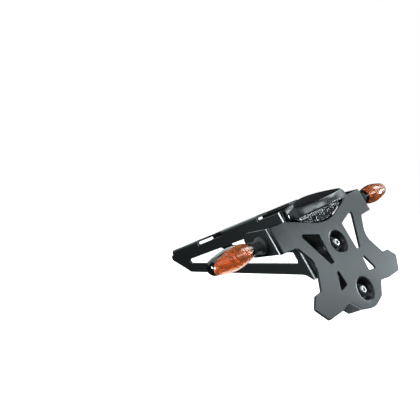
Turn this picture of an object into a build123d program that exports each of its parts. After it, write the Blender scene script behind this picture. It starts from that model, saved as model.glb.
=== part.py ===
import os
from math import cos, radians, sin, tan

from build123d import *

# Frame: +Z up, +Y towards the front of the bike, +X to its right.
# Origin: on the rear face of the plate, midway between its two bolts.

# Attitude, degrees
plate_tilt = 30.0           # the plate leans back from upright by this much
tail_slope = 21.5           # the tail's underside rises to the rear
strut_slope = 8.5           # the lower struts rise to the rear

# Sheet metal
sheet = 3.0
bend_outer = 4.5
bend_inner = bend_outer - sheet

# Plate outline: half widths from the centreline, levels up the plate from the upper bolt
bolt_pitch = 58.0
arm_half = 90.0             # to the outer face of the folded tabs
arm_top = 44.0
arm_low = 15.3
armpit_half = 65.0
armpit_level = 14.4
waist_half = 50.5
waist_level = -9.0
ear_root_half = 65.0
ear_root_level = -35.0
ear_shoulder_half = 76.0
ear_shoulder_level = -35.5
ear_half = 86.2
ear_level = -46.2
ear_foot_half = 74.6
ear_foot_level = -62.8
ear_heel_half = 50.5
ear_heel_level = -62.8
lobe_root_half = 34.0
lobe_root_level = -60.0
lobe_half = 20.0
lobe_level = -74.2
lobe_tip = -79.8
scallop_half = 61.5
scallop_top = 43.7
scallop_apex = 22.5
scallop_r = 69.0
corner_r = 3.0
waist_r = 16.0
armpit_r = 4.0
heel_r = 8.0
lobe_r = 5.0
lobe_tip_r = 30.0

# Windows of the plate
window_out_half = 52.8
window_out_level = 25.6
window_in_half = 22.8
window_in_level = 16.0
window_low_level = -17.0
window_low_half = 30.2
window_lean = 0.8           # the inner edge leans outwards by this much
window_r = 2.5
slot_top_half = 26.6
slot_top_width = 3.0
slot_top_level = -27.0
slot_top_r = 1.4
slot_in_half = 23.3
slot_in_level = -43.4
slot_out_half = 37.8
slot_out_level = -46.0
slot_r = 1.8

# Pressed dishes
dish_rim_r = 12.6
dish_floor_r = 8.6
dish_depth = 7.0
dish_rim_round = 4.5        # on the rear face; the front face follows one sheet away
dish_floor_round = 1.6
dish_land = 5.0             # flat ring of the sheet around the dish

# Indicator tabs
tab_depth = 38.5
tab_front_low = 28.8
tab_front_top = 54.5
tab_nose_low = 25.8
tab_nose_run = 36.0
tab_r = 8.0
tab_nose_r = 1.5

# Bracket
web_gap = 7.0               # spacer length between the dishes and the web
web_half = 42.0
web_top = 58.0
web_low = -23.6
tongue_half = 28.0
fold_land = 5.0             # straight ends of the fold, square to it
tongue_start = -39.0
tongue_shoulder = -66.0
tongue_foot_half = 22.0
tongue_foot = -73.0
tongue_tip = -77.6
tongue_root_r = 8.0
tongue_tip_r = 20.0
web_corner_r = 3.0
post_width = 12.0           # side plate between the fold and its window
strut_level = -14.8         # lower edge of the strut below the window's rear edge
strut_width = 12.6
beam_width = 13.6
nose_run = 232.0            # front end of the side plates, ahead of the plate
nose_low_back = 26.0        # and how far behind it each of these stands
nose_high_back = 1.5
window_back = 34.0
front_lip_back = 6.0
front_lip_length = 60.0
nose_height = 28.0
strut_end_r = 2.0
strut_root_r = 14.0
nose_low_r = 4.0
nose_r = 5.0
nose_high_r = 2.0
side_window_r = 2.6
lip_rise = 6.3
lip_width = 20.0
rear_lip_run = 52.6
rear_lip_length = 65.4
lip_end_r = 1.0
relief = 1.6                # bend relief beside the lips
relief_r = 0.6
mount_hole_r = 3.3
mount_half = 31.0

# Fasteners
bolt_r = 3.0
bolt_hole_r = 3.3
head_r = 5.25
head_height = 3.3
head_flat_r = 2.4
head_shoulder_r = 4.35
head_shoulder = 2.25        # height of the dome at its shoulder
head_rim = 0.5
socket_flats = 4.0
socket_depth = 2.1
bolt_length = 28.0
bolt_chamfer = 0.8
washer_r = 7.2
washer_thick = 1.6
spacer_r = 7.0
nut_flats = 10.0
nut_height = 7.0
nut_flange_r = 7.0
nut_flange = 1.8
screw_r = 2.0
screw_head_r = 4.0
screw_head = 2.6
screw_length = 12.0
screw_clear = 0.2
screw_end_gap = 0.5
screw_socket = 2.5
screw_socket_depth = 1.5

# Number-plate light
light_half = 57.4
light_bottom = 41.0
light_foot_half = 50.5
light_end_low = 43.9
light_wall_top = 49.6
light_crest = 62.2
light_end_top = 48.4
light_back = 12.5           # how far the rear wall stands behind the plate, at the centre
light_back_end = 2.0
light_roof_run = 10.5
light_front_half = 36.0
light_round = 2.2
light_floor = 2.5
cavity_half = 33.0
cavity_rear = -6.0
cavity_front = 13.4
cavity_top = 50.0
mouth_half = 36.0           # opening of the housing's floor, over the lens
mouth_rear = 3.2
lens_half = 44.4
lens_drop = 12.3
lens_rear = 1.2             # the lens's rear face ahead of the plate's
lens_front = 14.8
lens_wall = 1.8
lens_end_wall = 3.2
lens_spigot = 2.5
spigot_clear = 0.2
flute_pitch = 4.0
flute_r = 1.5
flute_depth = 0.6
flute_end = 10.0            # plain ends of the lens beside the flutes
flute_top = 1.0
board_thick = 1.6
board_half = 30.0
board_deep = 15.0
led_wide = 5.0
led_deep = 5.0
led_high = 1.6
led_pitch = 18.0
led_count = 3
light_screw_half = 24.0
light_screw_level = 53.6

# Indicators
lamp_depth = 17.2           # axis ahead of the plate's rear face
lamp_level = 33.5
stem_length = 20.8          # rubber stem between the tab and the lamp
lamp_length = 56.0
lamp_r = 11.9
lamp_widest = 25.5
lamp_shoulder_r = 10.8
lamp_shoulder = 13.0
lamp_cheek_r = 9.7
lamp_cheek = 43.0
lamp_neck_r = 7.6
lamp_neck = 5.0
lamp_flare = 0.4            # slope of the flank where it leaves the neck
neck_flare = 1.0
lamp_wall = 1.8
lamp_seam = 1.0             # the lens starts this far behind the axis
lamp_seam_at = 24.0         # at this distance along the lamp,
lamp_seam_yaw = 7.0         # and its edge turns towards the tip by this angle
reflector_wall = 0.9
reflector_gap = 0.2
reflector_from = 11.0
bulb_base_r = 4.2
bulb_base = 7.5
bulb_r = 4.8
bulb_length = 15.0
bulb_neck = 2.0
stud_r = 4.0
stud_bore_r = 2.2
stud_tail = 13.5            # the stud's reach inside the tab's outer face
stud_grip = 3.0             # and into the lamp's neck
stud_chamfer = 0.7
stem_flange_r = 9.0
stem_flange = 4.5
stem_r = 6.6
stem_end_r = 7.4
stem_taper = 3.0
stem_collar = 3.0
stem_round = 0.8
stem_taper_r = 1.5
tab_hole_r = 4.2
lamp_washer_r = 8.5
lamp_nut_flats = 13.0
lamp_nut_height = 6.5

past = 1.0                  # cuts run past the faces they open by this much
same = 0.01                 # places nearer than this count as one

tilt = radians(plate_tilt)
into = Vector(0, cos(tilt), -sin(tilt))
out = Vector(0, -cos(tilt), sin(tilt))
up = Vector(0, sin(tilt), cos(tilt))
right = Vector(1, 0, 0)
beam_angle = radians(plate_tilt - tail_slope)
rise = tan(beam_angle)
fall = tan(radians(plate_tilt - strut_slope))
web_rear = dish_depth + sheet + web_gap
web_front = web_rear + sheet
nose_low_run = nose_run - nose_low_back
nose_high_run = nose_run - nose_high_back
window_front = nose_run - window_back
rear_lip = (rear_lip_run, rear_lip_run + rear_lip_length)
front_lip = (nose_run - front_lip_back - front_lip_length, nose_run - front_lip_back)
bolt_levels = (0.0, -bolt_pitch)
lamp_inner = arm_half + stem_length
stud_inner = arm_half - stud_tail


def spot(across, depth, level):
    return right * across + into * depth + up * (level + bolt_pitch / 2)


def facing(depth, across=0.0, level=0.0):
    return Plane(origin=spot(across, depth, level), x_dir=right, z_dir=out)


def sideways(across):
    return Plane(origin=spot(across, 0, 0), x_dir=into, z_dir=right)


def level_plane(level, across=0.0, depth=0.0):
    return Plane(origin=spot(across, depth, level), x_dir=right, z_dir=up)


def both_sides(half):
    return half + [(-x, y) for x, y in reversed(half)]


def depth_of(shape):
    return shape.center().dot(into)


def level_of(shape):
    return shape.center().dot(up) - bolt_pitch / 2


def edges_at(part, across, depth):
    on_line = lambda e: abs(abs(e.center().X) - across) < same and abs(depth_of(e) - depth) < same
    return part.edges().filter_by(Axis((0, 0, 0), up)).filter_by(on_line)


# Back plate
outline = [
    (scallop_half, scallop_top),
    (arm_half, arm_top),
    (arm_half, arm_low),
    (armpit_half, armpit_level),
    (waist_half, waist_level),
    (ear_root_half, ear_root_level),
    (ear_shoulder_half, ear_shoulder_level),
    (ear_half, ear_level),
    (ear_foot_half, ear_foot_level),
    (ear_heel_half, ear_heel_level),
    (lobe_root_half, lobe_root_level),
    (lobe_half, lobe_level),
]
outline_r = [corner_r, 0, 0, armpit_r, waist_r] + 4 * [corner_r] + [heel_r, corner_r, lobe_r]
window = [
    (window_out_half, window_out_level),
    (window_in_half, window_in_level),
    (window_in_half + window_lean, window_low_level),
    (window_low_half, window_low_level),
]
slot = [
    (slot_top_half - slot_top_width / 2, slot_top_level),
    (slot_top_half + slot_top_width / 2, slot_top_level),
    (slot_out_half, slot_out_level),
    (slot_in_half, slot_in_level),
]
tab = [
    (0, arm_low),
    (tab_nose_run, tab_nose_low),
    (tab_depth, tab_front_low),
    (tab_depth, tab_front_top),
    (0, arm_top),
]

with BuildPart() as back_plate:
    with BuildSketch(facing(0)):
        with BuildLine():
            FilletPolyline(
                (0, scallop_apex), *both_sides(outline)[:12], (0, lobe_tip), *both_sides(outline)[12:],
                radius=[scallop_r, *outline_r, lobe_tip_r, *reversed(outline_r)], close=True)
        make_face()
        for side in (1, -1):
            with BuildLine():
                FilletPolyline(*[(side * x, y) for x, y in window], radius=window_r, close=True)
            make_face(mode=Mode.SUBTRACT)
            with BuildLine():
                FilletPolyline(
                    *[(side * x, y) for x, y in slot],
                    radius=[slot_top_r, slot_top_r, slot_r, slot_r], close=True)
            make_face(mode=Mode.SUBTRACT)
    extrude(amount=-sheet)
    for side in (1, -1):
        with BuildSketch(sideways(side * arm_half)):
            with BuildLine():
                FilletPolyline(*tab, radius=[0, tab_nose_r, tab_nose_r, tab_r, 0], close=True)
            make_face()
            with Locations((lamp_depth, lamp_level)):
                Circle(tab_hole_r, mode=Mode.SUBTRACT)
        extrude(amount=-side * sheet)
    fillet(edges_at(back_plate, arm_half, 0), bend_outer)
    fillet(edges_at(back_plate, arm_half - sheet, sheet), bend_inner)
    for level in bolt_levels:
        with BuildSketch(facing(0, level=level)):
            Circle(dish_rim_r + dish_land - past)
        extrude(amount=-sheet, mode=Mode.SUBTRACT)
        slant = (dish_rim_r - dish_floor_r) / dish_depth
        wall = sheet * (1 + slant ** 2) ** 0.5
        outer_rim = dish_rim_r + wall - slant * sheet
        outer_floor = dish_rim_r + wall - slant * (dish_depth + sheet)
        with BuildSketch(level_plane(level)):
            with BuildLine():
                FilletPolyline(
                    (bolt_hole_r, dish_depth), (dish_floor_r, dish_depth), (dish_rim_r, 0),
                    (dish_rim_r + dish_land, 0), (dish_rim_r + dish_land, sheet), (outer_rim, sheet),
                    (outer_floor, dish_depth + sheet), (bolt_hole_r, dish_depth + sheet),
                    radius=[
                        0, dish_floor_round, dish_rim_round, 0, 0, dish_rim_round - sheet,
                        dish_floor_round + sheet, 0], close=True)
            make_face()
        revolve(axis=Axis(spot(0, 0, level), into))
back_plate.part.label = "back_plate"

# Main bracket
web = [
    (web_half, web_top),
    (web_half, web_low),
    (web_half - fold_land, web_low),
    (tongue_half, tongue_start),
    (tongue_half, tongue_shoulder),
    (tongue_foot_half, tongue_foot),
]
web_r = [0, 0, web_corner_r, tongue_root_r, web_corner_r, web_corner_r]
post_run = web_rear + post_width


def tail_line(run):
    return web_top + rise * (run - web_rear - fold_land)


def strut_line(run):
    return strut_level + fall * (run - post_run)


strut_top = strut_width / cos(radians(plate_tilt - strut_slope))
beam_low = beam_width / cos(beam_angle)
side_outline = [(web_rear, web_low), (web_rear + fold_land, web_low), (post_run, strut_line(post_run))]
side_outline += [(nose_low_run, strut_line(nose_low_run)), (nose_run, strut_line(nose_low_run) + nose_height)]
side_outline += [(nose_high_run, tail_line(nose_high_run))]
side_r = [0, strut_end_r, strut_root_r, nose_low_r, nose_r, nose_high_r]


def on_beam(run, along, above):
    x = run + along * cos(beam_angle) - above * sin(beam_angle)
    return x, tail_line(run) + along * sin(beam_angle) + above * cos(beam_angle)


for start, end in (front_lip, rear_lip):
    side_outline += [on_beam(end, 0, 0), on_beam(end, 0, lip_rise), on_beam(start, 0, lip_rise)]
    side_outline += [on_beam(start, 0, -relief), on_beam(start, -relief, -relief), on_beam(start, -relief, 0)]
    side_r += [lip_end_r, 0, 0, relief_r, relief_r, 0]
side_outline += [(web_rear + fold_land, web_top), (web_rear, web_top)]
side_r += [0, 0]
side_window = [
    (post_run, strut_line(post_run) + strut_top),
    (window_front, strut_line(window_front) + strut_top),
    (window_front, tail_line(window_front) - beam_low),
    (post_run, tail_line(post_run) - beam_low),
]


def lip_plane(run):
    along = into * cos(beam_angle) + up * sin(beam_angle)
    x, y = on_beam(run, 0, lip_rise)
    return Plane(origin=spot(0, x, y), x_dir=right, z_dir=right.cross(along))


with BuildPart() as main_bracket:
    with BuildSketch(facing(web_rear)):
        with BuildLine():
            FilletPolyline(
                *web, (0, tongue_tip), *[(-x, y) for x, y in reversed(web)],
                radius=[*web_r, tongue_tip_r, *reversed(web_r)], close=True)
        make_face()
        with Locations(*[(0, level) for level in bolt_levels]):
            Circle(bolt_hole_r, mode=Mode.SUBTRACT)
        with Locations((light_screw_half, light_screw_level), (-light_screw_half, light_screw_level)):
            Circle(screw_r + screw_clear, mode=Mode.SUBTRACT)
    extrude(amount=-sheet)
    for side in (1, -1):
        with BuildSketch(sideways(side * web_half)):
            with BuildLine():
                FilletPolyline(*side_outline, radius=side_r, close=True)
            make_face()
            with BuildLine():
                FilletPolyline(*side_window, radius=side_window_r, close=True)
            make_face(mode=Mode.SUBTRACT)
        extrude(amount=-side * sheet)
        for start, end in (front_lip, rear_lip):
            middle = (start + end) / 2
            with BuildSketch(lip_plane(middle)):
                with Locations((side * (web_half - lip_width / 2), 0)):
                    Rectangle(lip_width, (end - start) / cos(beam_angle))
                with Locations((side * mount_half, 0)):
                    Circle(mount_hole_r, mode=Mode.SUBTRACT)
            extrude(amount=-sheet)
    fillet(edges_at(main_bracket, web_half, web_rear), bend_outer)
    fillet(edges_at(main_bracket, web_half - sheet, web_front), bend_inner)
    lip_axis = Axis((0, 0, 0), lip_plane(0).y_dir)
    lip_edges = main_bracket.edges().filter_by(lip_axis)
    on_lip = lambda e, across, drop: (
        abs(abs(e.center().X) - across) < same
        and abs(lip_plane(0).to_local_coords(e.center()).Z + drop) < same)
    fillet(lip_edges.filter_by(lambda e: on_lip(e, web_half, 0)), bend_outer)
    fillet(lip_edges.filter_by(lambda e: on_lip(e, web_half - sheet, sheet)), bend_inner)
main_bracket.part.label = "main_bracket"

# Plate fasteners, one of each per dish
head_seat = dish_depth - washer_thick
bolt_end = head_seat + bolt_length
with BuildPart() as plate_bolts:
    for level in bolt_levels:
        with BuildSketch(level_plane(level)):
            with BuildLine():
                crown = Line((0, head_seat - head_height), (head_flat_r, head_seat - head_height))
                dome = ThreePointArc(
                    crown @ 1, (head_shoulder_r, head_seat - head_shoulder), (head_r, head_seat - head_rim))
                Polyline(
                    dome @ 1, (head_r, head_seat), (bolt_r, head_seat), (bolt_r, bolt_end - bolt_chamfer),
                    (bolt_r - bolt_chamfer, bolt_end), (0, bolt_end), crown @ 0)
            make_face()
        revolve(axis=Axis(spot(0, 0, level), into))
        with BuildSketch(facing(head_seat - head_height, level=level)):
            RegularPolygon(socket_flats / 2, 6, major_radius=False)
        extrude(amount=-socket_depth, mode=Mode.SUBTRACT)
plate_bolts.part.label = "plate_bolts"

with BuildPart() as plate_washers:
    for level in bolt_levels:
        with BuildSketch(facing(head_seat, level=level)):
            Circle(washer_r)
            Circle(bolt_hole_r, mode=Mode.SUBTRACT)
        extrude(amount=-washer_thick)
plate_washers.part.label = "plate_washers"

with BuildPart() as plate_spacers:
    for level in bolt_levels:
        with BuildSketch(facing(dish_depth + sheet, level=level)):
            Circle(spacer_r)
            Circle(bolt_hole_r, mode=Mode.SUBTRACT)
        extrude(amount=-web_gap)
plate_spacers.part.label = "plate_spacers"

with BuildPart() as plate_nuts:
    for level in bolt_levels:
        with BuildSketch(facing(web_front, level=level)):
            Circle(nut_flange_r)
            Circle(bolt_r, mode=Mode.SUBTRACT)
        extrude(amount=-nut_flange)
        with BuildSketch(facing(web_front + nut_flange, level=level)):
            RegularPolygon(nut_flats / 2, 6, major_radius=False)
            Circle(bolt_r, mode=Mode.SUBTRACT)
        extrude(amount=nut_flange - nut_height)
plate_nuts.part.label = "plate_nuts"

# Number-plate light: three views of the housing meet in one block
with BuildPart() as light_housing:
    with BuildSketch(sideways(-light_half)):
        with BuildLine():
            Polyline(
                (-light_back, light_bottom), (-light_back, light_wall_top), (light_roof_run, light_crest),
                (web_rear, light_crest), (web_rear, light_bottom), close=True)
        make_face()
    extrude(amount=2 * light_half)
    with BuildSketch(facing(light_half)):
        with BuildLine():
            arch = ThreePointArc((-light_half, light_end_top), (0, light_crest), (light_half, light_end_top))
            Polyline(arch @ 1, (light_half, light_bottom), (-light_half, light_bottom), arch @ 0)
        make_face()
    extrude(amount=2 * light_half, mode=Mode.INTERSECT)
    with BuildSketch(level_plane(0)):
        with BuildLine():
            brow = ThreePointArc(
                (-light_half, -light_back_end), (0, -light_back), (light_half, -light_back_end))
            Polyline(brow @ 1, (light_front_half, web_rear), (-light_front_half, web_rear), brow @ 0)
        make_face()
    extrude(amount=2 * light_half, mode=Mode.INTERSECT)
    rear_edges = light_housing.edges().filter_by(lambda e: depth_of(e) < web_rear - past)
    fillet(rear_edges.filter_by(lambda e: level_of(e) > light_bottom + light_round / 4), light_round)
    with BuildSketch(facing(light_half)):
        for side in (1, -1):
            with BuildLine():
                Polyline(
                    (side * light_foot_half, light_bottom), (side * (light_half + past), light_bottom),
                    (side * (light_half + past), light_end_low), close=True)
            make_face()
    extrude(amount=2 * light_half, mode=Mode.SUBTRACT)
    with BuildSketch(level_plane(light_bottom + light_floor)):
        with Locations((0, (cavity_front + cavity_rear) / 2)):
            Rectangle(2 * cavity_half, cavity_front - cavity_rear)
    extrude(amount=cavity_top - light_bottom - light_floor, mode=Mode.SUBTRACT)
    with BuildSketch(level_plane(light_bottom)):
        with Locations((0, (cavity_front + mouth_rear) / 2)):
            Rectangle(2 * mouth_half, cavity_front - mouth_rear)
    extrude(amount=light_floor, mode=Mode.SUBTRACT)
    with BuildSketch(facing(web_rear)):
        with Locations((light_screw_half, light_screw_level), (-light_screw_half, light_screw_level)):
            Circle(screw_r)
    extrude(amount=-sheet + screw_length + screw_end_gap, mode=Mode.SUBTRACT)
light_housing.part.label = "light_housing"

lens_deep = lens_front - lens_rear
lens_hollow = lens_half - lens_end_wall
with BuildPart() as light_lens:
    with BuildSketch(facing(lens_rear)):
        with BuildLine():
            Line((-lens_half, light_bottom), (lens_half, light_bottom))
            ThreePointArc(
                (-lens_half, light_bottom), (0, light_bottom - lens_drop), (lens_half, light_bottom))
        make_face()
    extrude(amount=-lens_deep)
    with BuildSketch(level_plane(light_bottom)):
        with Locations((0, (cavity_front + mouth_rear) / 2)):
            Rectangle(2 * (mouth_half - spigot_clear), cavity_front - mouth_rear - 2 * spigot_clear)
    extrude(amount=lens_spigot)
    with BuildSketch(facing(lens_rear + lens_wall)):
        with BuildLine():
            Line((-lens_hollow, light_bottom), (lens_hollow, light_bottom))
            ThreePointArc(
                (-lens_hollow, light_bottom), (0, light_bottom - lens_drop + lens_wall),
                (lens_hollow, light_bottom))
        make_face()
    extrude(amount=2 * lens_wall - lens_deep, mode=Mode.SUBTRACT)
    with BuildSketch(level_plane(light_bottom - past)):
        with Locations((0, (cavity_front + mouth_rear) / 2)):
            Rectangle(
                2 * (mouth_half - spigot_clear - lens_wall),
                cavity_front - mouth_rear - 2 * (spigot_clear + lens_wall))
    extrude(amount=lens_spigot + past, mode=Mode.SUBTRACT)
    flute_count = int(2 * (lens_half - flute_end) / flute_pitch) + 1
    with BuildSketch(level_plane(light_bottom - lens_drop)):
        with GridLocations(flute_pitch, 0, flute_count, 1):
            with Locations((0, lens_rear + flute_depth - flute_r)):
                Circle(flute_r)
    extrude(amount=lens_drop - flute_top, mode=Mode.SUBTRACT)
light_lens.part.label = "light_lens"

with BuildPart() as light_board:
    with BuildSketch(level_plane(cavity_top - board_thick)):
        with Locations((0, (cavity_front + cavity_rear) / 2)):
            Rectangle(2 * board_half, board_deep)
    extrude(amount=board_thick)
light_board.part.label = "light_board"

with BuildPart() as light_leds:
    with BuildSketch(level_plane(cavity_top - board_thick)):
        with Locations((0, (cavity_front + mouth_rear) / 2)):
            with GridLocations(led_pitch, 0, led_count, 1):
                Rectangle(led_wide, led_deep)
    extrude(amount=-led_high)
light_leds.part.label = "light_leds"

with BuildPart() as light_screws:
    for side in (1, -1):
        with BuildSketch(facing(web_front, side * light_screw_half, light_screw_level)):
            Circle(screw_head_r)
        extrude(amount=-screw_head)
        with BuildSketch(facing(web_front, side * light_screw_half, light_screw_level)):
            Circle(screw_r)
        extrude(amount=screw_length)
        with BuildSketch(facing(web_front + screw_head, side * light_screw_half, light_screw_level)):
            RegularPolygon(screw_socket / 2, 6, major_radius=False)
        extrude(amount=screw_socket_depth, mode=Mode.SUBTRACT)
light_screws.part.label = "light_screws"

# Left indicator, turned about its own axis; the right one is its mirror image
lamp_axis = Axis(spot(0, lamp_depth, lamp_level), right)
lamp_centre = spot(0, lamp_depth, lamp_level)
lamp_plane = Plane(origin=lamp_centre, x_dir=-right, z_dir=(0, 1, 0))
seam_yaw = radians(lamp_seam_yaw)
seam_point = lamp_centre - right * (lamp_inner + lamp_seam_at) - Vector(0, lamp_seam, 0)
seam_plane = Plane(origin=seam_point, z_dir=(sin(seam_yaw), -cos(seam_yaw), 0))
neck_end = lamp_inner + lamp_neck
lamp_tip = lamp_inner + lamp_length
stud_end = lamp_inner + stud_grip
bulb_shoulder = stud_end + bulb_base
bulb_tip = bulb_shoulder + bulb_length


def lamp_profile(inset, start):
    with BuildSketch(lamp_plane) as profile:
        with BuildLine():
            flank = Spline(
                (lamp_inner, lamp_neck_r - inset), (lamp_inner + lamp_shoulder, lamp_shoulder_r - inset),
                (lamp_inner + lamp_widest, lamp_r - inset), (lamp_inner + lamp_cheek, lamp_cheek_r - inset),
                (lamp_tip - inset, 0), tangents=[(1, lamp_flare), (0, -1)])
            Polyline(flank @ 1, (lamp_inner, 0), flank @ 0)
        make_face()
        if start > lamp_inner:
            with Locations(((lamp_inner + start) / 2, 0)):
                Rectangle(start - lamp_inner, 4 * lamp_r, mode=Mode.SUBTRACT)
    return profile.sketch


with BuildPart() as left_indicator_body:
    revolve(lamp_profile(0, lamp_inner), axis=lamp_axis)
    split(bisect_by=seam_plane, keep=Keep.BOTTOM)
    with BuildSketch(lamp_plane):
        with BuildLine():
            Polyline(
                (lamp_inner, 0), (lamp_inner, lamp_neck_r), (neck_end, lamp_neck_r + neck_flare),
                (neck_end, 0), close=True)
        make_face()
    revolve(axis=lamp_axis)
    revolve(lamp_profile(lamp_wall, neck_end), axis=lamp_axis, mode=Mode.SUBTRACT)
    with BuildSketch(lamp_plane):
        with BuildLine():
            Polyline(
                (lamp_inner - past, 0), (lamp_inner - past, stud_r), (stud_end, stud_r),
                (stud_end, bulb_base_r), (neck_end + past, bulb_base_r), (neck_end + past, 0), close=True)
        make_face()
    revolve(axis=lamp_axis, mode=Mode.SUBTRACT)
left_indicator_body.part.label = "left_indicator_body"

with BuildPart() as left_indicator_lens:
    revolve(lamp_profile(0, lamp_inner), axis=lamp_axis)
    split(bisect_by=seam_plane, keep=Keep.TOP)
    split(bisect_by=Plane(origin=spot(-neck_end, 0, 0), z_dir=-right), keep=Keep.TOP)
    revolve(lamp_profile(lamp_wall, neck_end), axis=lamp_axis, mode=Mode.SUBTRACT)
left_indicator_lens.part.label = "left_indicator_lens"

with BuildPart() as left_indicator_reflector:
    revolve(lamp_profile(lamp_wall + reflector_gap, neck_end), axis=lamp_axis)
    split(bisect_by=seam_plane, keep=Keep.BOTTOM)
    split(bisect_by=Plane(origin=spot(-lamp_inner - reflector_from, 0, 0), z_dir=-right), keep=Keep.TOP)
    revolve(
        lamp_profile(lamp_wall + reflector_gap + reflector_wall, neck_end),
        axis=lamp_axis, mode=Mode.SUBTRACT)
left_indicator_reflector.part.label = "left_indicator_reflector"

with BuildPart() as left_indicator_bulb:
    with BuildSketch(lamp_plane):
        with BuildLine():
            barrel = Polyline(
                (stud_end, 0), (stud_end, bulb_base_r), (bulb_shoulder, bulb_base_r),
                (bulb_shoulder + bulb_neck, bulb_r), (bulb_tip - bulb_r, bulb_r))
            RadiusArc(barrel @ 1, (bulb_tip, 0), bulb_r)
            Line((bulb_tip, 0), barrel @ 0)
        make_face()
    revolve(axis=lamp_axis)
left_indicator_bulb.part.label = "left_indicator_bulb"

collar_start = lamp_inner - stem_collar
with BuildPart() as left_indicator_stem:
    with BuildSketch(lamp_plane):
        with BuildLine():
            FilletPolyline(
                (arm_half, stud_r), (arm_half, stem_flange_r), (arm_half + stem_flange, stem_flange_r),
                (arm_half + stem_flange + stem_taper, stem_r), (collar_start - stem_taper, stem_r),
                (collar_start, stem_end_r), (lamp_inner, stem_end_r), (lamp_inner, stud_r),
                radius=[0, stem_round, stem_round, stem_taper_r, stem_taper_r, stem_round, stem_round, 0],
                close=True)
        make_face()
    revolve(axis=lamp_axis)
left_indicator_stem.part.label = "left_indicator_stem"

with BuildPart() as left_indicator_stud:
    with BuildSketch(lamp_plane):
        with BuildLine():
            Polyline(
                (stud_inner, stud_bore_r), (stud_inner, stud_r - stud_chamfer),
                (stud_inner + stud_chamfer, stud_r), (stud_end, stud_r), (stud_end, stud_bore_r), close=True)
        make_face()
    revolve(axis=lamp_axis)
left_indicator_stud.part.label = "left_indicator_stud"

with BuildPart() as indicator_washers:
    for side in (1, -1):
        with BuildSketch(sideways(side * (arm_half - sheet))):
            with Locations((lamp_depth, lamp_level)):
                Circle(lamp_washer_r)
                Circle(tab_hole_r, mode=Mode.SUBTRACT)
        extrude(amount=-side * washer_thick)
indicator_washers.part.label = "indicator_washers"

with BuildPart() as indicator_nuts:
    for side in (1, -1):
        with BuildSketch(sideways(side * (arm_half - sheet - washer_thick))):
            with Locations((lamp_depth, lamp_level)):
                RegularPolygon(lamp_nut_flats / 2, 6, major_radius=False)
                Circle(stud_r, mode=Mode.SUBTRACT)
        extrude(amount=-side * lamp_nut_height)
indicator_nuts.part.label = "indicator_nuts"

pieces = [back_plate, main_bracket, plate_bolts, plate_washers, plate_spacers, plate_nuts]
pieces += [light_housing, light_lens, light_board, light_leds, light_screws]
pieces += [indicator_washers, indicator_nuts]
left_pieces = [left_indicator_body, left_indicator_lens, left_indicator_reflector]
left_pieces += [left_indicator_bulb, left_indicator_stem, left_indicator_stud]

os.makedirs("parts", exist_ok=True)
for piece in pieces + left_pieces:
    export_step(piece.part, f"parts/{piece.part.label}.step")
for piece in left_pieces:
    twin = mirror(piece.part, about=Plane.YZ)
    twin.label = piece.part.label.replace("left", "right")
    export_step(twin, f"parts/{twin.label}.step")
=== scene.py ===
from math import atan2, cos, pi, radians, sin, tan

import bmesh
import bpy
from mathutils import Matrix, Vector
from mathutils.geometry import interpolate_bezier


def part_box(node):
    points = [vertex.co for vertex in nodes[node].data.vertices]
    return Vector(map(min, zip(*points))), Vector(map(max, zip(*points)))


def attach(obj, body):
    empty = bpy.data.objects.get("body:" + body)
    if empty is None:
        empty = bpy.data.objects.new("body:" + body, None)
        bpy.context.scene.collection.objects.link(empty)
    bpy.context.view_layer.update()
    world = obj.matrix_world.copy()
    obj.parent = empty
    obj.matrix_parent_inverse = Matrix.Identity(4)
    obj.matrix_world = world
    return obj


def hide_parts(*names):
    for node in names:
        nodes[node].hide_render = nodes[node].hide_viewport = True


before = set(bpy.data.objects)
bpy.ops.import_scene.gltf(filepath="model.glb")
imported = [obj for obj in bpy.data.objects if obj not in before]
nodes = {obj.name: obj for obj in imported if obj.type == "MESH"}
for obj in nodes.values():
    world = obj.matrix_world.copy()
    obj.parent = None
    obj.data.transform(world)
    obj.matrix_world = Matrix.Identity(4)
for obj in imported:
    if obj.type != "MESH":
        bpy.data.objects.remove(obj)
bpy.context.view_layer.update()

mm = 0.001
weldGap = 0.0005 * mm  # vertices nearer than this become one
scene = bpy.context.scene

# The plate leans back from upright. Across is to the right, outward is away from its rear face.
plateLean = radians(30)
across = Vector((1, 0, 0))
upward = Vector((0, sin(plateLean), cos(plateLean)))
outward = Vector((0, -cos(plateLean), sin(plateLean)))
boltLevels = (29 * mm, -29 * mm)  # the two plate bolts, up the plate from the origin
turnedOver = Matrix.Rotation(pi, 4, "X")  # for what goes on from the plate's front side


def placeOnPlate(sideways, level, depth):
    turn = Matrix((across, upward, outward)).transposed().to_4x4()
    return Matrix.Translation(across * sideways + upward * level - outward * depth) @ turn


def placeAlong(centre, axis):
    return Matrix.Translation(centre) @ axis.to_track_quat("Z", "Y").to_matrix().to_4x4()


def linear(hexColour):
    parts = [int(hexColour[i:i + 2], 16) / 255 for i in (1, 3, 5)]
    return [p / 12.92 if p <= 0.04045 else ((p + 0.055) / 1.055) ** 2.4 for p in parts] + [1.0]


def perMm(size):
    return 1 / (size * mm)  # a texture's scale for a pattern of this many millimetres


# Nodes are set by name: a socket's value, or the node's own setting.
def addNode(material, kind, settings, links):
    node = material.node_tree.nodes.new(kind)
    for key, value in settings.items():
        if isinstance(key, str) and hasattr(node, key):
            setattr(node, key, value)
        else:
            node.inputs[key].default_value = value
    for key, source in links.items():
        material.node_tree.links.new(source, node.inputs[key])
    return node


def newMaterial(name, sockets):
    material = bpy.data.materials.new(name)
    material.use_nodes = True
    shader = material.node_tree.nodes["Principled BSDF"]
    for key, value in sockets.items():
        shader.inputs[key].default_value = value
    where = addNode(material, "ShaderNodeTexCoord", {}, {}).outputs["Object"]
    return material, shader, where


def join(material, source, shader, socket):
    material.node_tree.links.new(source, shader.inputs[socket])


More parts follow.
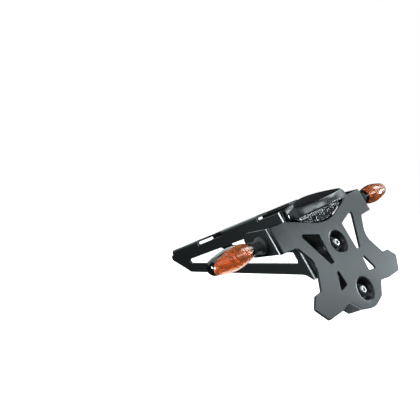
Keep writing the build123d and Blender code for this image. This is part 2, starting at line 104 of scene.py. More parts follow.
def addNoise(material, where, size, detail, distortion=0.0):
    settings = {"Scale": perMm(size), "Detail": detail, "Distortion": distortion}
    return addNode(material, "ShaderNodeTexNoise", settings, {"Vector": where}).outputs["Fac"]


# A pattern reaches the shader as two tones, as a span of roughness, or as relief.
def tintBy(material, shader, pattern, first, second):
    mix = addNode(material, "ShaderNodeMix", {"data_type": "RGBA", 6: first, 7: second}, {0: pattern})
    join(material, mix.outputs[2], shader, "Base Color")


def roughenBy(material, shader, pattern, span):
    spread = addNode(material, "ShaderNodeMapRange", {"To Min": span[0], "To Max": span[1]}, {"Value": pattern})
    join(material, spread.outputs["Result"], shader, "Roughness")


def raiseBy(material, shader, pattern, height, strength=1.0):
    links = {"Height": pattern}
    for link in shader.inputs["Normal"].links:  # relief that is there already lies underneath
        links["Normal"] = link.from_socket
    bump = addNode(material, "ShaderNodeBump", {"Strength": strength, "Distance": height * mm}, links)
    join(material, bump.outputs["Normal"], shader, "Normal")


# Polyester powder coat on sheet aluminium, sprayed and stoved: satin black, an orange peel that shows
# close up in the gloss, and slow changes of tone where the film is thicker.
powderCoat = {
    "thin": "#101214", "thick": "#17191b", "patch": 38.0, "rough": (0.29, 0.39), "grit": 0.5,
    "peel": 1.3, "peelHeight": 0.06,
}


def makePowderCoat():
    v = powderCoat
    material, shader, where = newMaterial("powderCoatedAluminium", {"IOR": 1.5})
    film = addNoise(material, where, v["patch"], detail=3.0)
    tintBy(material, shader, film, linear(v["thin"]), linear(v["thick"]))
    roughenBy(material, shader, addNoise(material, where, v["grit"], detail=2.0), v["rough"])
    raiseBy(material, shader, addNoise(material, where, v["peel"], detail=1.5), v["peelHeight"])
    return material


# Moulded black ABS, polished on the indicators and satin on the light: deep gloss, clouded by handling
# and very slightly sunk where the wall is thick.
glossAbs = {
    "colour": "#0b0c0e", "cloud": "#121316", "haze": 9.0, "sink": 14.0, "sinkHeight": 0.02,
    "polished": (0.10, 0.18), "satin": (0.17, 0.25),
}


def makeGlossAbs(finish):
    v = glossAbs
    material, shader, where = newMaterial(finish + "MouldedAbs", {"IOR": 1.53})
    haze = addNoise(material, where, v["haze"], detail=4.0)
    tintBy(material, shader, haze, linear(v["colour"]), linear(v["cloud"]))
    roughenBy(material, shader, haze, v[finish])
    raiseBy(material, shader, addNoise(material, where, v["sink"], detail=0.0), v["sinkHeight"])
    return material


# Moulded polycarbonate, clear or dyed amber: sharp gloss outside, light passes and bends, with the
# faint flow lines of the moulding. The amber has small pillows that break the light into sparkles.
polycarbonate = {
    # the clear lens's grey tint is painted shade: it darkens the lens as the shade inside the light's housing
    # would
    "clear": {"colour": "#6c7275", "rough": (0.05, 0.10), "clear": 1.0, "pillowHeight": 0.0},
    "amber": {"colour": "#ff9e5a", "rough": (0.14, 0.24), "clear": 0.82, "pillowHeight": 0.18},
    "flow": 2.2, "flowHeight": 0.004, "pillow": 2.6,
}


def makePolycarbonate(dye):
    v, own = polycarbonate, polycarbonate[dye]
    material, shader, where = newMaterial(dye + "Polycarbonate", {
        "Base Color": linear(own["colour"]), "IOR": 1.585, "Transmission Weight": own["clear"]})
    flow = addNoise(material, where, v["flow"], detail=2.0, distortion=0.8)
    roughenBy(material, shader, flow, own["rough"])
    raiseBy(material, shader, flow, v["flowHeight"])
    if own["pillowHeight"]:
        pillows = addNode(
            material, "ShaderNodeTexVoronoi", {"feature": "SMOOTH_F1", "Scale": perMm(v["pillow"])},
            {"Vector": where})
        raiseBy(material, shader, pillows.outputs["Distance"], own["pillowHeight"])
    return material


# Turned or formed metal: fine rings from the tool along the part's own axis, over a tumbled, slightly
# uneven shine. The rings are drawn about ten times coarser than real ones so that they show: one
# repeats every 2 pi times its value.
metals = {
    "stainless": {
        "name": "tumbledStainless", "colour": "#c6c8c9", "worn": "#e2e3e3", "rough": (0.30, 0.42), "ring": 0.45},
    "aluminium": {
        "name": "turnedAluminium", "colour": "#b9bcc0", "worn": "#d6d8da", "rough": (0.22, 0.36), "ring": 0.5},
    "zinc": {
        "name": "brightZincSteel", "colour": "#a9adb2", "worn": "#cfd2d4", "rough": (0.20, 0.38), "ring": 0.6},
    "blackZinc": {
        "name": "blackZincSteel", "colour": "#141517", "worn": "#26282b", "rough": (0.28, 0.45), "ring": 0.5},
    "nickel": {
        "name": "nickelledBrass", "colour": "#cfc6b2", "worn": "#e4dfd2", "rough": (0.15, 0.28), "ring": 0.5},
}
metalShine = {"cloud": 1.6, "ringHeight": 0.004, "ringStrength": 0.6, "ringBend": 0.6}
waveRate = 20  # radians that a wave texture turns in one unit of its scale


def makeMetal(kind, axis):
    v, shine = metals[kind], metalShine
    material, shader, where = newMaterial(v["name"] + axis, {"Metallic": 1.0})
    lean = {"Plate": (-plateLean, 0, 0), "Sideways": (0, pi / 2, 0)}[axis]  # brings the part's axis to Z
    turned = addNode(material, "ShaderNodeMapping", {"Rotation": lean}, {"Vector": where})
    settings = {
        "bands_direction": "Z", "Scale": perMm(v["ring"]) / waveRate, "Distortion": shine["ringBend"],
        "Detail": 2.0}
    rings = addNode(material, "ShaderNodeTexWave", settings, {"Vector": turned.outputs["Vector"]})
    cloud = addNoise(material, where, shine["cloud"], detail=4.0)
    tintBy(material, shader, cloud, linear(v["colour"]), linear(v["worn"]))
    roughenBy(material, shader, cloud, v["rough"])
    raiseBy(material, shader, rings.outputs["Fac"], shine["ringHeight"], shine["ringStrength"])
    return material


# Vacuum-metallised ABS: a bright, softly blurred mirror, a little rippled by the moulding under the film.
metallised = {"colour": "#d8dadd", "ripple": 1.8, "rippleHeight": 0.01, "rough": (0.36, 0.46)}


def makeMetallised():
    v = metallised
    material, shader, where = newMaterial("metallisedAbs", {"Base Color": linear(v["colour"]), "Metallic": 1.0})
    ripple = addNoise(material, where, v["ripple"], detail=1.0)
    roughenBy(material, shader, ripple, v["rough"])
    raiseBy(material, shader, ripple, v["rippleHeight"])
    return material


# Moulded black rubber: matt, bloomed a little grey, with the fine grain of a spark-eroded mould.
rubber = {
    "colour": "#0e0e0f", "bloom": "#1c1c1d", "bloomSize": 5.0, "rough": (0.55, 0.72),
    "grain": 0.35, "grainHeight": 0.02, "grainStrength": 0.7,
}


def makeRubber():
    v = rubber
    material, shader, where = newMaterial("mouldedRubber", {"IOR": 1.52})
    bloom = addNoise(material, where, v["bloomSize"], detail=4.0)
    grain = addNoise(material, where, v["grain"], detail=1.0)
    tintBy(material, shader, bloom, linear(v["colour"]), linear(v["bloom"]))
    roughenBy(material, shader, grain, v["rough"])
    raiseBy(material, shader, grain, v["grainHeight"], v["grainStrength"])
    return material


# Clear soda glass, blown: nearly perfect gloss with slow waves.
bulbGlass = {"colour": "#fbfaf5", "rough": 0.01, "wave": 4.0, "waveHeight": 0.02}


def makeBulbGlass():
    v = bulbGlass
    material, shader, where = newMaterial("blownGlass", {
        "Base Color": linear(v["colour"]), "IOR": 1.52, "Transmission Weight": 1.0, "Roughness": v["rough"]})
    raiseBy(material, shader, addNoise(material, where, v["wave"], detail=0.0), v["waveHeight"])
    return material


# Glass-fibre board under green solder mask: copper tracks show as paler lines with a slight step.
solderMask = {
    "mask": "#0f3d22", "track": "#1c6a3a", "rough": 0.28,
    "pitch": 3.2, "trackWidth": 0.05, "trackBlur": 0.1, "step": 0.03,
}


def makeSolderMask():
    v = solderMask
    material, shader, where = newMaterial("solderMaskBoard", {"IOR": 1.5, "Roughness": v["rough"]})
    tracks = addNode(
        material, "ShaderNodeTexBrick",
        {"Scale": perMm(v["pitch"]) / 2,  # a brick is half a unit long
         "Mortar Size": v["trackWidth"], "Mortar Smooth": v["trackBlur"],
         "Color1": linear(v["mask"]), "Color2": linear(v["mask"]), "Mortar": linear(v["track"])},
        {"Vector": where})
    join(material, tracks.outputs["Color"], shader, "Base Color")
    raiseBy(material, shader, tracks.outputs["Fac"], v["step"])
    return material


# LED package: a white moulded frame, and yellow phosphor set in silicone, both faintly grained.
ledFinish = {
    "ledFrameMoulding": {"colour": "#e9e8e2", "rough": (0.44, 0.56)},
    "ledPhosphor": {"colour": "#e2c53c", "rough": (0.29, 0.41)},
    "grain": 0.4, "shade": 0.8,
}


def makeLedFinish(name):
    v, own = ledFinish, ledFinish[name]
    material, shader, where = newMaterial(name, {"IOR": 1.45})
    grain = addNoise(material, where, v["grain"], detail=2.0)
    bright = linear(own["colour"])
    tintBy(material, shader, grain, bright, [c * v["shade"] for c in bright])
    roughenBy(material, shader, grain, own["rough"])
    return material


coat = makePowderCoat()
polishedBlack = makeGlossAbs("polished")
satinBlack = makeGlossAbs("satin")
clearLens = makePolycarbonate("clear")
amberLens = makePolycarbonate("amber")
stainless = makeMetal("stainless", "Plate")
aluminium = makeMetal("aluminium", "Plate")
zincPlate = makeMetal("zinc", "Plate")
zincSide = makeMetal("zinc", "Sideways")
blackZinc = makeMetal("blackZinc", "Plate")
nickel = makeMetal("nickel", "Sideways")
mirrorFilm = makeMetallised()
blackRubber = makeRubber()
glass = makeBulbGlass()
board = makeSolderMask()
ledFrame = makeLedFinish("ledFrameMoulding")
ledPhosphor = makeLedFinish("ledPhosphor")
print("materials made")


def addPiece(name, bm, materials, stands, sharpAngle=35):
    mesh = bpy.data.meshes.new(name)
    bm.to_mesh(mesh)
    bm.free()
    mesh.shade_smooth()
    mesh.set_sharp_from_angle(angle=radians(sharpAngle))
    for material in materials:
        mesh.materials.append(material)
    piece = bpy.data.objects.new(name, mesh)
    scene.collection.objects.link(piece)
    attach(piece, "root")
    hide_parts(*stands)
    return piece


def closeUp(bm):
    bmesh.ops.remove_doubles(bm, verts=bm.verts, dist=weldGap)
    bmesh.ops.recalc_face_normals(bm, faces=bm.faces)


# A merged copy of a CAD node, its flat faces made whole again.
def mergedCopy(nodeName, flatAngle=0.3):
    bm = bmesh.new()
    bm.from_mesh(nodes[nodeName].data)
    bmesh.ops.remove_doubles(bm, verts=bm.verts, dist=weldGap)
    bmesh.ops.dissolve_limit(bm, angle_limit=radians(flatAngle), verts=bm.verts, edges=bm.edges)
    return bm


# Marks the edges to round: those that turn sharply and lie clear of the given spots, on both sides.
def markEdges(bm, angle, spots, reach):
    weight = bm.edges.layers.float.new("bevel_weight_edge")
    for edge in bm.edges:
        middle = (edge.verts[0].co + edge.verts[1].co) / mm / 2
        middle.x = abs(middle.x)
        if edge.is_manifold and edge.calc_face_angle() > radians(angle):
            edge[weight] = float(all((middle - Vector(spot)).length > reach for spot in spots))


# A CAD node's shape with its sharp edges rounded.
def addRounded(name, nodeName, v, material):
    bm = mergedCopy(nodeName)
    markEdges(bm, v["edgeAngle"], v.get("spared", ()), v.get("sparedReach", 0.0))
    piece = addPiece(name, bm, [material], [nodeName], v["smoothAngle"])
    bevel = piece.modifiers.new("roundedEdges", "BEVEL")
    bevel.width = v["edgeRadius"] * mm
    bevel.segments = v["edgeSteps"]
    bevel.limit_method = "WEIGHT"
    bevel.use_clamp_overlap = False
    bevel.harden_normals = True


# A turned shape: one circle is extruded from ring to ring. A ring is its half width and its height, and a
# third word makes it a hexagon.
def turnRings(bm, place, rings, segments=48, capped=True):
    loop = bmesh.ops.create_circle(bm, segments=segments, radius=mm)["verts"]
    made = []
    for count, (half, height, *hexagon) in enumerate(rings):
        if count:
            held = set(loop)
            edges = {e for v in loop for e in v.link_edges if held.issuperset(e.verts)}
            grown = bmesh.ops.extrude_edge_only(bm, edges=list(edges))["geom"]
            loop = [g for g in grown if isinstance(g, bmesh.types.BMVert)]
        for v in loop:
            angle = atan2(v.co.y, v.co.x)
            radius = half / cos(angle % (pi / 3) - pi / 6) if hexagon else half
            v.co = Vector((radius * cos(angle), radius * sin(angle), height)) * mm
        if capped and count in (0, len(rings) - 1):
            bmesh.ops.contextual_create(bm, geom=loop)
        made += loop
    bmesh.ops.transform(bm, matrix=place, verts=made)


# A ridge wound on a shank by a spin that climbs, its two ends closed. Its root is sunk into the core, and
# the half widths are shares of the pitch.
threadForm = {"sunk": 0.15, "root": 0.42, "crest": 0.08, "steps": 24}


def windThread(bm, place, core, crest, pitch, length):
    v = threadForm
    low, steps = core - v["sunk"], v["steps"]
    outline = ((low, -v["root"]), (crest, -v["crest"]), (crest, v["crest"]), (low, v["root"]))
    ridge = bm.faces.new([bm.verts.new((r * mm, 0, h * pitch * mm)) for r, h in outline])
    start = set(bm.verts) - set(ridge.verts)
    bmesh.ops.spin(
        bm, geom=[ridge], cent=(0, 0, 0), axis=(0, 0, 1), dvec=(0, 0, pitch * mm / steps),
        angle=2 * pi * length / pitch, steps=round(steps * length / pitch), use_merge=False)
    bmesh.ops.transform(bm, matrix=place, verts=[u for u in bm.verts if u not in start])


# Folded sheet: the coat rounds every cut edge, save at the ends of the arms' bends, where edges crowd
# together closer than the radius.
sheetMetal = {
    "edgeRadius": 0.45, "edgeSteps": 3, "edgeAngle": 40, "smoothAngle": 35,
    "spared": ((87.0, 40.0, 61.5), (86.5, 25.2, 37.6)), "sparedReach": 4.5,
}
addRounded("backPlate", "back_plate", sheetMetal, coat)
addRounded("mainBracket", "main_bracket", sheetMetal, coat)
print("sheet metal done")


# The rings of a hexagon socket, from the drilled point in its floor up to its mouth.
def hexSocket(v, top):
    half, floor = v["socket"] / 2, top - v["socketDepth"]
    return [
        (half * v["drillShare"], floor - v["drillDepth"], "hexagon"), (half, floor, "hexagon"),
        (half, top - v["mouth"], "hexagon")]


# Button-head socket screws in the dishes, their heads to the rear.
buttonHead = {
    "seat": 5.4, "height": 3.3, "radius": 5.25, "flat": 2.45, "rim": 0.5, "ease": 0.2, "domeSteps": 8,
    "socket": 4.0, "socketDepth": 2.1, "drillShare": 0.4, "drillDepth": 0.4, "mouth": 0.2,
    "shank": 3.0, "length": 28.0, "tipTaper": 0.4, "tipLength": 0.3,
    "pitch": 1.0, "threadDepth": 0.5, "threadLength": 11.0, "threadEnds": 0.6,
}


def makeButtonHeads():
    v = buttonHead
    bm = bmesh.new()
    top, core, ease = v["height"], v["shank"] - v["threadDepth"], v["ease"]
    rings = hexSocket(v, top) + [(v["flat"], top)]
    for step in range(1, v["domeSteps"] + 1):
        turn = pi / 2 * step / v["domeSteps"]
        reach = v["flat"] + (v["radius"] - v["flat"]) * sin(turn)
        rings.append((reach, v["rim"] + (top - v["rim"]) * cos(turn)))
    plain = v["threadLength"] - v["length"]
    rings += [(v["radius"], ease), (v["radius"] - ease, 0.0), (v["shank"], 0.0)]
    rings += [(v["shank"], plain), (core, plain - v["threadDepth"])]
    rings += [(core, -v["length"] + v["tipLength"]), (core - v["tipTaper"], -v["length"])]
    threadStart = Matrix.Translation((0, 0, (-v["length"] + v["threadEnds"]) * mm))
    for level in boltLevels:
        place = placeOnPlate(0, level, v["seat"] * mm)
        turnRings(bm, place, rings)
        windThread(
            bm, place @ threadStart, core, v["shank"], v["pitch"], v["threadLength"] - 2 * v["threadEnds"])
    closeUp(bm)
    return addPiece("plateBolts", bm, [stainless], ["plate_bolts"])


# Rings with a bore and eased edges: washers and spacers.
plateWasher = {"outer": 7.2, "bore": 3.3, "thick": 1.6, "ease": 0.25, "under": 7.0}
plateSpacer = {"outer": 7.0, "bore": 3.3, "thick": 7.0, "ease": 0.4, "under": 17.0}
lampWasher = {"outer": 8.5, "bore": 4.2, "thick": 1.6, "ease": 0.2}


def easedRing(v):
    outer, bore, thick, ease = v["outer"], v["bore"], v["thick"], v["ease"]
    return [
        (bore, ease), (bore + ease, 0), (outer - ease, 0), (outer, ease), (outer, thick - ease),
        (outer - ease, thick), (bore + ease, thick), (bore, thick - ease), (bore, ease)]


def makePlateRings(name, v, material, nodeName):
    bm = bmesh.new()
    for level in boltLevels:
        turnRings(bm, placeOnPlate(0, level, v["under"] * mm), easedRing(v), capped=False)
    closeUp(bm)
    return addPiece(name, bm, [material], [nodeName])


# Hexagon nuts whose corners are turned off at thirty degrees on top. The plate's nuts stand on a flange.
plateNut = {
    "flats": 10.0, "bore": 2.6, "height": 7.0, "chamfer": 0.5, "topShare": 0.97, "hexFrom": 1.2, "seat": 20.0,
    "flange": 7.0, "flangeThick": 1.8, "flangeRim": 0.8, "flangeEase": 0.3, "flangeFoot": 0.4,
}
lampNut = {"flats": 13.0, "bore": 3.5, "height": 6.5, "chamfer": 0.5, "topShare": 0.97, "hexFrom": 0}


def hexNut(v):
    half, bore, bottom, height, chamfer = v["flats"] / 2, v["bore"], v["hexFrom"], v["height"], v["chamfer"]
    corner = (half / cos(pi / 6) - half) * tan(pi / 6)
    return [
        (bore, bottom + chamfer), (bore + chamfer, bottom), (half, bottom, "hexagon"),
        (half, height - corner, "hexagon"), (half * v["topShare"], height), (bore + chamfer, height),
        (bore, height - chamfer), (bore, bottom + chamfer)]


def makePlateNuts():
    v = plateNut
    bm = bmesh.new()
    bore, flange, ease, thick = v["bore"], v["flange"], v["flangeEase"], v["flangeThick"]
    foot = [
        (bore, ease), (bore + ease, 0), (flange - ease, 0), (flange, ease), (flange, v["flangeRim"]),
        (v["flats"] / 2 + v["flangeFoot"], thick), (bore, thick), (bore, ease)]
    for level in boltLevels:
        place = placeOnPlate(0, level, v["seat"] * mm) @ turnedOver
        turnRings(bm, place, foot, capped=False)
        turnRings(bm, place, hexNut(v), capped=False)
    closeUp(bm)
    return addPiece("plateNuts", bm, [zincPlate], ["plate_nuts"])


makeButtonHeads()
makePlateRings("plateWashers", plateWasher, blackZinc, "plate_washers")
makePlateRings("plateSpacers", plateSpacer, aluminium, "plate_spacers")
makePlateNuts()
print("plate fasteners done")

# Number-plate light: the arched housing and the fluted lens under it.
lightHousing = {"edgeRadius": 0.5, "edgeSteps": 3, "edgeAngle": 50, "smoothAngle": 50}
lightLens = {"edgeRadius": 0.25, "edgeSteps": 2, "edgeAngle": 60, "smoothAngle": 35}
addRounded("lightHousing", "light_housing", lightHousing, satinBlack)
addRounded("lightLens", "light_lens", lightLens, clearLens)

# Two socket screws hold the housing from the front.
lightScrew = {
    "apart": 24.0, "level": 82.6, "seat": 20.0, "around": 36,
    "head": 4.0, "headHeight": 2.6, "round": 0.9, "roundMiddle": (0.35, 0.25), "ease": 0.2,
    "socket": 2.5, "socketDepth": 1.5, "drillShare": 0.4, "drillDepth": 0.3, "mouth": 0.15, "mouthWider": 0.35,
    "shank": 2.0, "length": 12.0, "tipTaper": 0.5, "tipLength": 0.6,
}


def makeLightScrews():
    v = lightScrew
    bm = bmesh.new()
    top, head, shank, end = v["headHeight"], v["head"], v["shank"], -v["length"]
    inward, lower = v["roundMiddle"]
    rings = hexSocket(v, top) + [
        (v["socket"] / 2 + v["mouthWider"], top), (head - v["round"], top), (head - inward, top - lower),
        (head, top - v["round"]), (head, v["ease"]), (head - v["ease"], 0), (shank, 0),
        (shank, end + v["tipLength"]), (shank - v["tipTaper"], end)]
    for side in (1, -1):
        place = placeOnPlate(side * v["apart"] * mm, v["level"] * mm, v["seat"] * mm) @ turnedOver
        turnRings(bm, place, rings, v["around"])
    closeUp(bm)
    return addPiece("lightScrews", bm, [zincPlate], ["light_screws"])


# LED packages under the board: a frame with a shallow well of phosphor.
ledPackage = {
    "wide": 5.0, "high": 1.6, "pitch": 18.0, "level": 77.4, "depth": 8.3, "edge": 0.25, "edgeSteps": 2,
    "well": 0.7, "wellDepth": 0.35,
}


def makeLeds():
    v = ledPackage
    bm = bmesh.new()
    size = Matrix.Diagonal((v["wide"] * mm, v["high"] * mm, v["wide"] * mm, 1))
    for count in (-1, 0, 1):
        place = placeOnPlate(count * v["pitch"] * mm, (v["level"] - v["high"] / 2) * mm, v["depth"] * mm)
        cube = bmesh.ops.create_cube(bm, size=1.0, matrix=place @ size)["verts"]
        edges = {e for u in cube for e in u.link_edges}
        upright = [e for e in edges if abs((e.verts[0].co - e.verts[1].co).dot(upward)) > v["high"] / 2 * mm]
        bmesh.ops.bevel(
            bm, geom=upright, offset=v["edge"] * mm, affect="EDGES", segments=v["edgeSteps"], profile=0.5,
            material=-1)
    bm.normal_update()
    lowest = [f for f in bm.faces if f.normal.dot(upward) < -0.9]  # the faces that look down
    bmesh.ops.inset_individual(bm, faces=lowest, thickness=v["well"] * mm, depth=-v["wellDepth"] * mm)
    for face in lowest:
        face.material_index = 1
    return addPiece("lightLeds", bm, [ledFrame, ledPhosphor], ["light_leds"])


makeLightScrews()
makeLeds()
print("number-plate light done")

# Indicators. The left one is modelled, and each piece is mirrored for the right.
stemLow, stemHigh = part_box("left_indicator_stem")
lampAxis = Vector((0, (stemLow.y + stemHigh.y) / 2, (stemLow.z + stemHigh.z) / 2))
lampInner = stemLow.x
lampShape = {
    # bezier runs of the flank: along from the inner end, and radius
    "flank": [
        ((0.0, 7.6), (4.065, 9.226), (8.511, 10.105), (13.0, 10.8)),
        ((13.0, 10.8), (17.207, 11.452), (21.452, 11.942), (25.5, 11.9)),
        ((25.5, 11.9), (31.189, 11.842), (36.489, 10.733), (43.0, 9.7)),
        ((43.0, 9.7), (48.988, 8.75), (56.0, 7.865), (56.0, 0.0))],
    "steps": 10, "around": 72, "wall": 1.8, "wallFade": 4.0, "neck": 5.15,
    # the inner face's flutes, and the radius from which they run
    "flutes": 48, "fluteDepth": 0.05, "fluteFrom": 2.0, "fluteAround": 216,
    # the lens meets the body at this distance behind the axis, at this place along, turned by this angle
    "seam": 1.0, "seamAt": 24.0, "seamYaw": 7.0, "seamGap": 0.05,
}
seamYaw = radians(lampShape["seamYaw"])
seamOut = Vector((sin(seamYaw), -cos(seamYaw), 0))  # from the body towards the lens
seamPoint = Vector((lampInner - lampShape["seamAt"] * mm, lampAxis.y - lampShape["seam"] * mm, lampAxis.z))


def onLampAxis(along):
    return Vector((along, lampAxis.y, lampAxis.z))


def flankPoints(inset, steps):
    points = []
    for run in lampShape["flank"]:
        points += interpolate_bezier(*[Vector((x, r, 0)) for x, r in run], steps + 1)[:-1]
    points.append(Vector((*lampShape["flank"][-1][3], 0)))
    length, fade = points[-1].x, lampShape["wallFade"]
    shrink = (length - inset) / length  # keeps the inner skin's tip on the axis
    return [(p.x * shrink, max(p.y - inset * min(1, p.y / fade), 0)) for p in points]


def spinFlank(bm, points, around):
    verts = [bm.verts.new((lampInner - x * mm, lampAxis.y, lampAxis.z + r * mm)) for x, r in points]
    line = [bm.edges.new(pair) for pair in zip(verts, verts[1:])]
    bmesh.ops.spin(
        bm, geom=verts + line, cent=lampAxis, axis=(1, 0, 0), angle=2 * pi, steps=around, use_merge=True)
    bmesh.ops.remove_doubles(bm, verts=bm.verts, dist=weldGap)


def trim(bm, point, normal):
    bmesh.ops.bisect_plane(
        bm, geom=bm.verts[:] + bm.edges[:] + bm.faces[:], plane_co=point, plane_no=normal, clear_outer=True)


def bothSides(leftName, build, materials, part, sharpAngle=35):
    for side in ("left", "right"):
        bm = build()
        if side == "right":
            bmesh.ops.scale(bm, vec=(-1, 1, 1), verts=bm.verts)
        bmesh.ops.recalc_face_normals(bm, faces=bm.faces)
        addPiece(side + leftName, bm, materials, [f"{side}_indicator_{part}"], sharpAngle)


def fluteSkin(skin):
    v = lampShape
    for u in skin.verts:
        radial = Vector((0, u.co.y - lampAxis.y, u.co.z - lampAxis.z))
        if radial.length > v["fluteFrom"] * mm:
            turn = atan2(radial.z, radial.y) * v["flutes"]
            u.co -= radial.normalized() * v["fluteDepth"] * mm * (0.5 + 0.5 * cos(turn))


# The lens is an outer and an inner skin, cut off at the seam and the neck and joined at the rim.
def buildLampLens():
    v = lampShape
    bm = bmesh.new()
    for inset, around in ((0, v["around"]), (v["wall"], v["fluteAround"])):
        skin = bmesh.new()
        spinFlank(skin, flankPoints(inset, v["steps"]), around)
        if inset:
            fluteSkin(skin)
        trim(skin, seamPoint + seamOut * v["seamGap"] * mm, -seamOut)
        trim(skin, Vector((lampInner - v["neck"] * mm, 0, 0)), (1, 0, 0))
        mesh = bpy.data.meshes.new("skin")
        skin.to_mesh(mesh)
        skin.free()
        bm.from_mesh(mesh)
        bpy.data.meshes.remove(mesh)
    bmesh.ops.bridge_loops(bm, edges=[e for e in bm.edges if e.is_boundary])
    return bm


# Reflector: a thin smooth bowl behind the bulb.
lampReflector = {"inset": 2.15, "stepsAlong": 8, "stepsAround": 48, "from": 11.0, "thick": 0.7}


def buildReflector():
    v = lampReflector
    bm = bmesh.new()
    spinFlank(bm, flankPoints(v["inset"], v["stepsAlong"]), v["stepsAround"])
    trim(bm, seamPoint - seamOut * lampShape["seamGap"] * mm, seamOut)
    trim(bm, Vector((lampInner - v["from"] * mm, 0, 0)), (1, 0, 0))
    bmesh.ops.recalc_face_normals(bm, faces=bm.faces)
    bmesh.ops.solidify(bm, geom=bm.faces[:], thickness=v["thick"] * mm)
    return bm


# Bulb: a glass with a round end and a sealed pip, and a turned base with a groove.
lampBulb = {
    "seat": 3.0, "around": 36, "radius": 4.8, "length": 15.0, "roundSteps": 6, "pip": 0.35,
    "sunk": 1.0, "sunkGap": 0.5, "neckGap": 0.3, "shoulder": 2.5,
    "baseRadius": 4.2, "base": 7.5, "chamfer": 0.4, "lip": 0.3,
    "grooveFrom": 2.6, "grooveTo": 3.6, "grooveSlope": 0.3, "grooveDepth": 0.35,
}


def turnBulbPart(rings):
    bm = bmesh.new()
    place = placeAlong(onLampAxis(lampInner - lampBulb["seat"] * mm), Vector((-1, 0, 0)))
    turnRings(bm, place, rings, lampBulb["around"])
    closeUp(bm)
    return bm


def buildBulbGlass():
    v = lampBulb
    base, neck, radius, end = v["base"], v["baseRadius"], v["radius"], v["base"] + v["length"]
    rings = [
        (neck - v["sunkGap"], base - v["sunk"]), (neck - v["neckGap"], base), (radius, base + v["shoulder"])]
    for step in range(v["roundSteps"]):
        turn = pi / 2 * step / v["roundSteps"]
        rings.append((radius * cos(turn), end - radius + radius * sin(turn)))
    return turnBulbPart(rings + [(v["pip"], end)])


def buildBulbBase():
    v = lampBulb
    base, radius = v["base"], v["baseRadius"]
    low, slope = radius - v["grooveDepth"], v["grooveSlope"]
    return turnBulbPart([
        (radius - v["chamfer"], 0), (radius, v["chamfer"]), (radius, v["grooveFrom"]),
        (low, v["grooveFrom"] + slope), (low, v["grooveTo"] - slope), (radius, v["grooveTo"]),
        (radius, base - v["lip"]), (radius - v["lip"], base)])


# Hollow stud through the tab, threaded where it shows.
lampStud = {
    "radius": 4.0, "bore": 2.2, "length": 37.3, "around": 40, "chamfer": 0.4, "tip": 0.3,
    "pitch": 1.25, "threadDepth": 0.6, "threadLength": 14.0, "threadFrom": 0.6, "threadSpare": 1.4,
}


def buildStud():
    v = lampStud
    bm = bmesh.new()
    place = placeAlong(onLampAxis(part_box("left_indicator_stud")[1].x), Vector((-1, 0, 0)))
    radius, bore, chamfer, tip = v["radius"], v["bore"], v["chamfer"], v["tip"]
    core, threaded = radius - v["threadDepth"], v["threadLength"]
    rings = [
        (bore, chamfer), (bore + chamfer, 0), (core - tip, 0), (core, tip), (core, threaded),
        (radius, threaded + v["threadDepth"]), (radius, v["length"]), (bore, v["length"]), (bore, chamfer)]
    turnRings(bm, place, rings, v["around"], capped=False)
    start = Matrix.Translation((0, 0, v["threadFrom"] * mm))
    windThread(bm, place @ start, core, radius, v["pitch"], threaded - v["threadSpare"])
    closeUp(bm)
    return bm


# Washers and nuts inside the tabs, from the sheet's inner face inwards.
lampTab = {"outer": 90.0, "sheet": 3.0}


def makeTabRings(name, rings, offset, nodeName):
    bm = bmesh.new()
    cornerUp = Matrix.Rotation(pi / 6, 4, "Z")  # a hexagon stands on its corner
    for side in (1, -1):
        centre = onLampAxis(side * (lampTab["outer"] - lampTab["sheet"] - offset) * mm)
        turnRings(bm, placeAlong(centre, Vector((-side, 0, 0))) @ cornerUp, rings, capped=False)
    closeUp(bm)
    return addPiece(name, bm, [zincSide], [nodeName])


bothSides("IndicatorLens", buildLampLens, [amberLens], "lens", sharpAngle=60)
bothSides("IndicatorReflector", buildReflector, [mirrorFilm], "reflector")
bothSides("IndicatorBulbGlass", buildBulbGlass, [glass], "bulb")
bothSides("IndicatorBulbBase", buildBulbBase, [nickel], "bulb")
bothSides("IndicatorStud", buildStud, [zincSide], "stud")
makeTabRings("indicatorWashers", easedRing(lampWasher), 0, "indicator_washers")
makeTabRings("indicatorNuts", hexNut(lampNut), lampWasher["thick"], "indicator_nuts")

# Solids that are right as they are take their finish here.
carriedOver = {"light_board": board}
for side in ("left", "right"):
    carriedOver[f"{side}_indicator_body"] = polishedBlack
    carriedOver[f"{side}_indicator_stem"] = blackRubber
for nodeName, material in carriedOver.items():
    nodes[nodeName].data.materials.clear()
    nodes[nodeName].data.materials.append(material)
print("indicators done")

# Camera at the photograph's viewing angle.
viewpoint = {
    "place": (-0.455926, -0.274045, 0.200837), "right": (0.70149656, -0.70027957, -0.13232952),
    "up": (0.25199123, 0.07004009, 0.96519159), "lens": 42.857, "sensor": 36, "nearest": 0.01,
}


def placeCamera():
    v = viewpoint
    camera = bpy.data.objects.new("camera", bpy.data.cameras.new("camera"))
    scene.collection.objects.link(camera)
    camera.data.lens = v["lens"]
    camera.data.sensor_width = v["sensor"]
    camera.data.clip_start = v["nearest"]
    rightWay, upWay = Vector(v["right"]), Vector(v["up"])
    turn = Matrix((rightWay, upWay, rightWay.cross(upWay))).transposed().to_4x4()
    camera.matrix_world = Matrix.Translation(v["place"]) @ turn
    scene.camera = camera


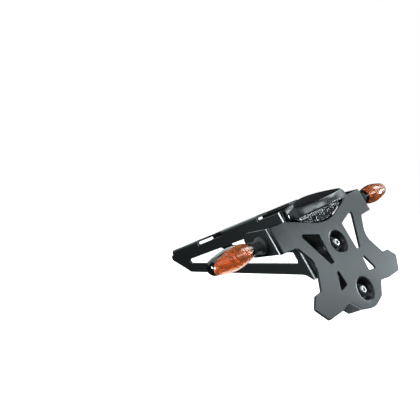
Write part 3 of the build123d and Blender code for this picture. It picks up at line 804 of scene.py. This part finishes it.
# Pale floor well below, white paper behind, and soft boxes. Those on the right lay the gloss on the plate,
# its arms and its dishes; those above, in front and below open up the other sides.
studio = {
    "floorLevel": -0.42, "floorRadius": 1.7, "floorSides": 64, "floorColour": "#f4f4f2", "floorRough": 0.9,
    "floorGlow": 1.0, "glowColour": "#ffffff", "roomColour": "#dfe5ea", "room": 0.05, "lightColour": "#edfbff",
}
softBoxes = {
    "keyBox": {"place": (0.958, -0.776, 0.412), "size": 0.29, "power": 1.9},
    "lowBox": {"place": (1.236, -0.402, -0.045), "size": 0.28, "power": 6.3},
    "armBox": {"place": (1.144, -0.181, 0.590), "size": 0.46, "power": 4.6},
    "dishBox": {"place": (1.281, -0.090, 0.203), "size": 0.30, "power": 0.45},
    "glintBox": {"place": (0.687, -0.945, 0.570), "size": 0.32, "power": 1.8},
    "whiteCard": {"place": (1.60, 0.30, -0.05), "size": 0.80, "power": 1.1},
    "sideLamp": {"place": (-1.427, 0.018, 0.256), "size": 0.26, "power": 64.0},
    "fillBox": {"place": (-0.60, -0.25, -0.37), "size": 0.40, "power": 3.0},
    "lensLamp": {"place": (-0.90, -0.55, 0.12), "size": 0.30, "power": 24.0},
    "rearTopBox": {"place": (0.05, -0.85, 0.90), "size": 0.70, "power": 2.0},
    "topBox": {"place": (0.0, 0.25, 1.35), "size": 1.00, "power": 7.0},
    "frontBox": {"place": (0.55, 1.25, 0.70), "size": 1.10, "power": 9.0},
    "frontLeftBox": {"place": (-0.45, 1.15, 0.80), "size": 1.10, "power": 5.5},
    "underBox": {"place": (0.16, 0.12, -0.38), "size": 0.40, "power": 1.2},
}
hiddenFrom = {
    "sideLamp": ("diffuse",),  # only draws the gleam on folds and rounded ends
    "fillBox": ("glossy",),  # only lifts the shade
    "lensLamp": ("diffuse", "glossy"),  # only shines into the lenses
    "floor": ("diffuse", "glossy", "transmission"),  # too far below to light the object
}


def hideFromRays(thing):
    for ray in hiddenFrom.get(thing.name, ()):
        setattr(thing, "visible_" + ray, False)


def buildFloor():
    v = studio
    bm = bmesh.new()
    bmesh.ops.create_circle(bm, cap_ends=True, segments=v["floorSides"], radius=v["floorRadius"])
    bmesh.ops.translate(bm, vec=(0, 0, v["floorLevel"]), verts=bm.verts)
    mesh = bpy.data.meshes.new("floor")
    bm.to_mesh(mesh)
    bm.free()
    floor = bpy.data.objects.new("floor", mesh)
    scene.collection.objects.link(floor)
    hideFromRays(floor)
    paint, shader, where = newMaterial("paintedFloor", {
        "Base Color": linear(v["floorColour"]), "Roughness": v["floorRough"],
        "Emission Color": linear(v["glowColour"]), "Emission Strength": v["floorGlow"]})
    mesh.materials.append(paint)


def hangLights():
    for name, box in softBoxes.items():
        light = bpy.data.lights.new(name, "AREA")
        light.shape = "SQUARE"
        light.size = box["size"]
        light.energy = box["power"]
        light.color = linear(studio["lightColour"])[:3]
        lamp = bpy.data.objects.new(name, light)
        lamp.location = box["place"]
        lamp.rotation_euler = (-Vector(box["place"])).to_track_quat("-Z", "Y").to_euler()
        scene.collection.objects.link(lamp)
        hideFromRays(lamp)


# The room lights the object faintly, and the paper behind it is plain white.
def makeRoom():
    room = bpy.data.worlds.new("room")
    room.use_nodes = True
    scene.world = room
    tree = room.node_tree
    dim = tree.nodes["Background"]
    dim.inputs["Color"].default_value = linear(studio["roomColour"])
    dim.inputs["Strength"].default_value = studio["room"]
    paper = tree.nodes.new("ShaderNodeBackground")
    paper.inputs["Color"].default_value = (1, 1, 1, 1)
    seen = tree.nodes.new("ShaderNodeLightPath")
    choose = tree.nodes.new("ShaderNodeMixShader")
    tree.links.new(seen.outputs["Is Camera Ray"], choose.inputs[0])
    tree.links.new(dim.outputs[0], choose.inputs[1])
    tree.links.new(paper.outputs[0], choose.inputs[2])
    tree.links.new(choose.outputs[0], tree.nodes["World Output"].inputs["Surface"])
    scene.view_settings.view_transform = "Standard"


placeCamera()
buildFloor()
hangLights()
makeRoom()
print("studio done")
